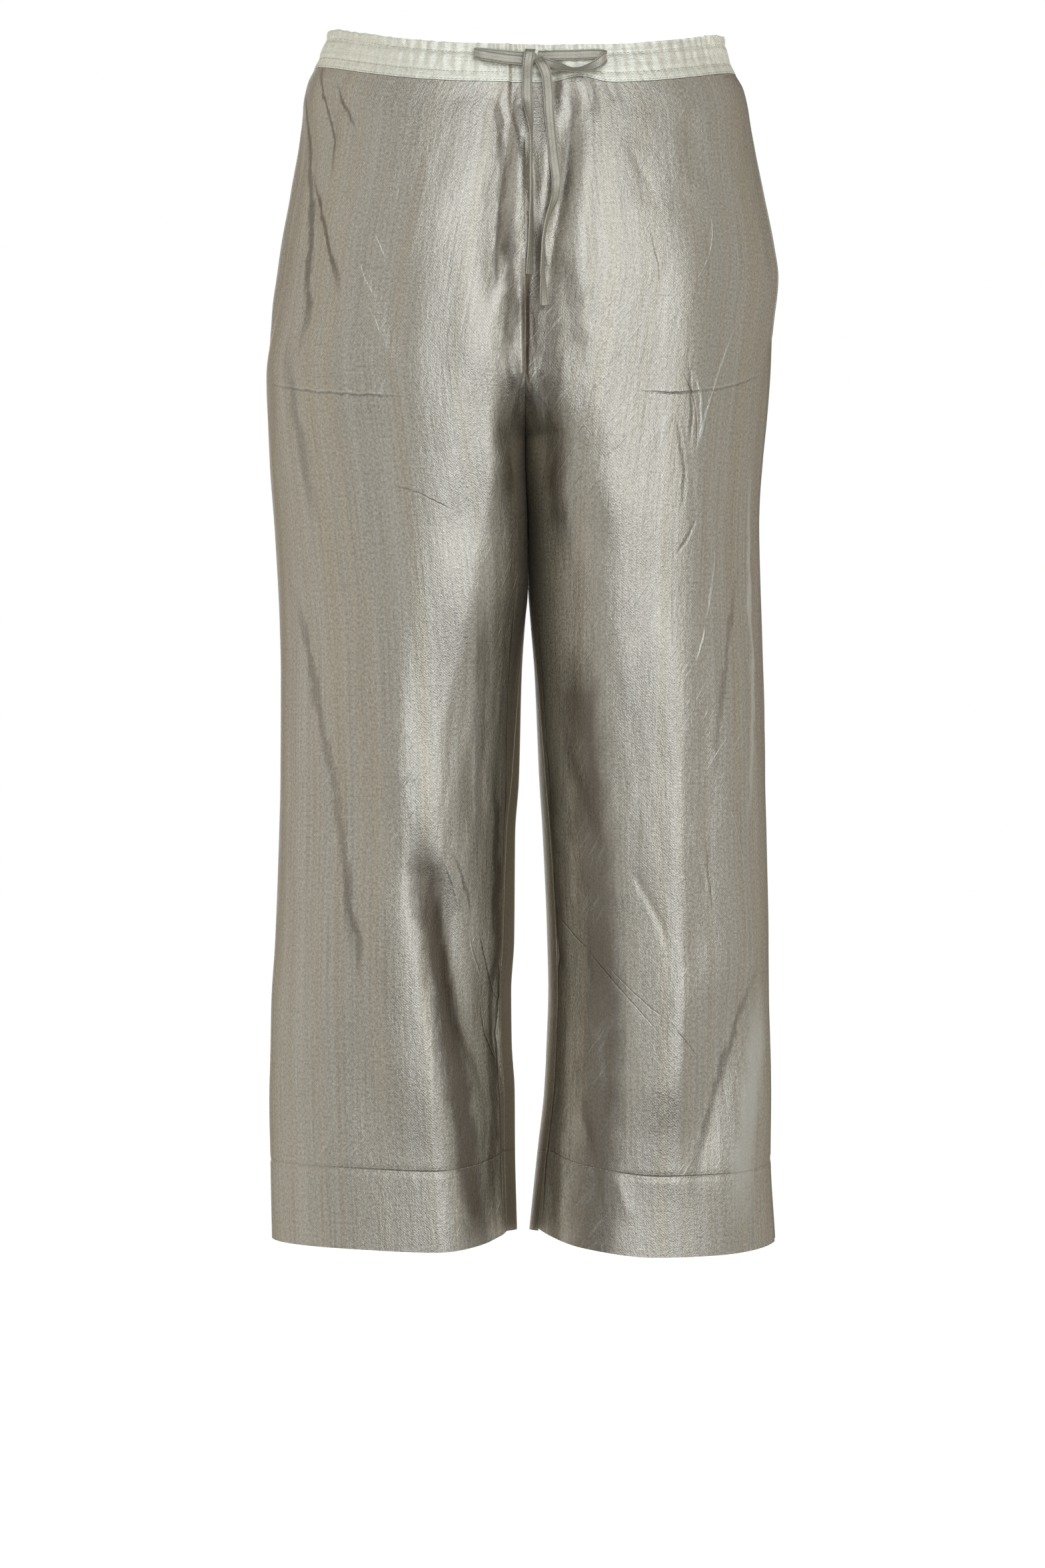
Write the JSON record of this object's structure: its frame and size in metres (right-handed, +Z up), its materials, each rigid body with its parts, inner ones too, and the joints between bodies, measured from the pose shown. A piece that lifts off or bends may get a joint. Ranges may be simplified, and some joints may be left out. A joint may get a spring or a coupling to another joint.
{
  "type": "straight pants",
  "caption": "Straight full-length pants in a satin twill, with side-seam pockets and a gathered drawstring waistband.",
  "frame": {"origin": "middle of the waist opening, level with the waistband at the side seams", "axes": "+Z up from the legs to the waist, front of the garment faces -Y, +X towards the right of the front view"},
  "size_m": [0.4109, 0.2894, 0.9867],
  "materials": {
    "cloth": "satin twill with a vertical streak",
    "band": "satin twill cut across the streak",
    "tape": "satin tape with topstitched edges"
  },
  "bodies": {
    "root": {"front_left": "cloth", "front_right": "cloth", "back_left": "cloth", "back_right": "cloth", "pocket_facing_left": "cloth", "pocket_facing_right": "cloth", "waistband_front": "band", "waistband_back": "band", "drawstring_knot": "tape", "drawstring_loop_left": "tape", "drawstring_loop_right": "tape", "drawstring_tail_left": "tape", "drawstring_tail_right": "tape"}
  },
  "joints": []
}
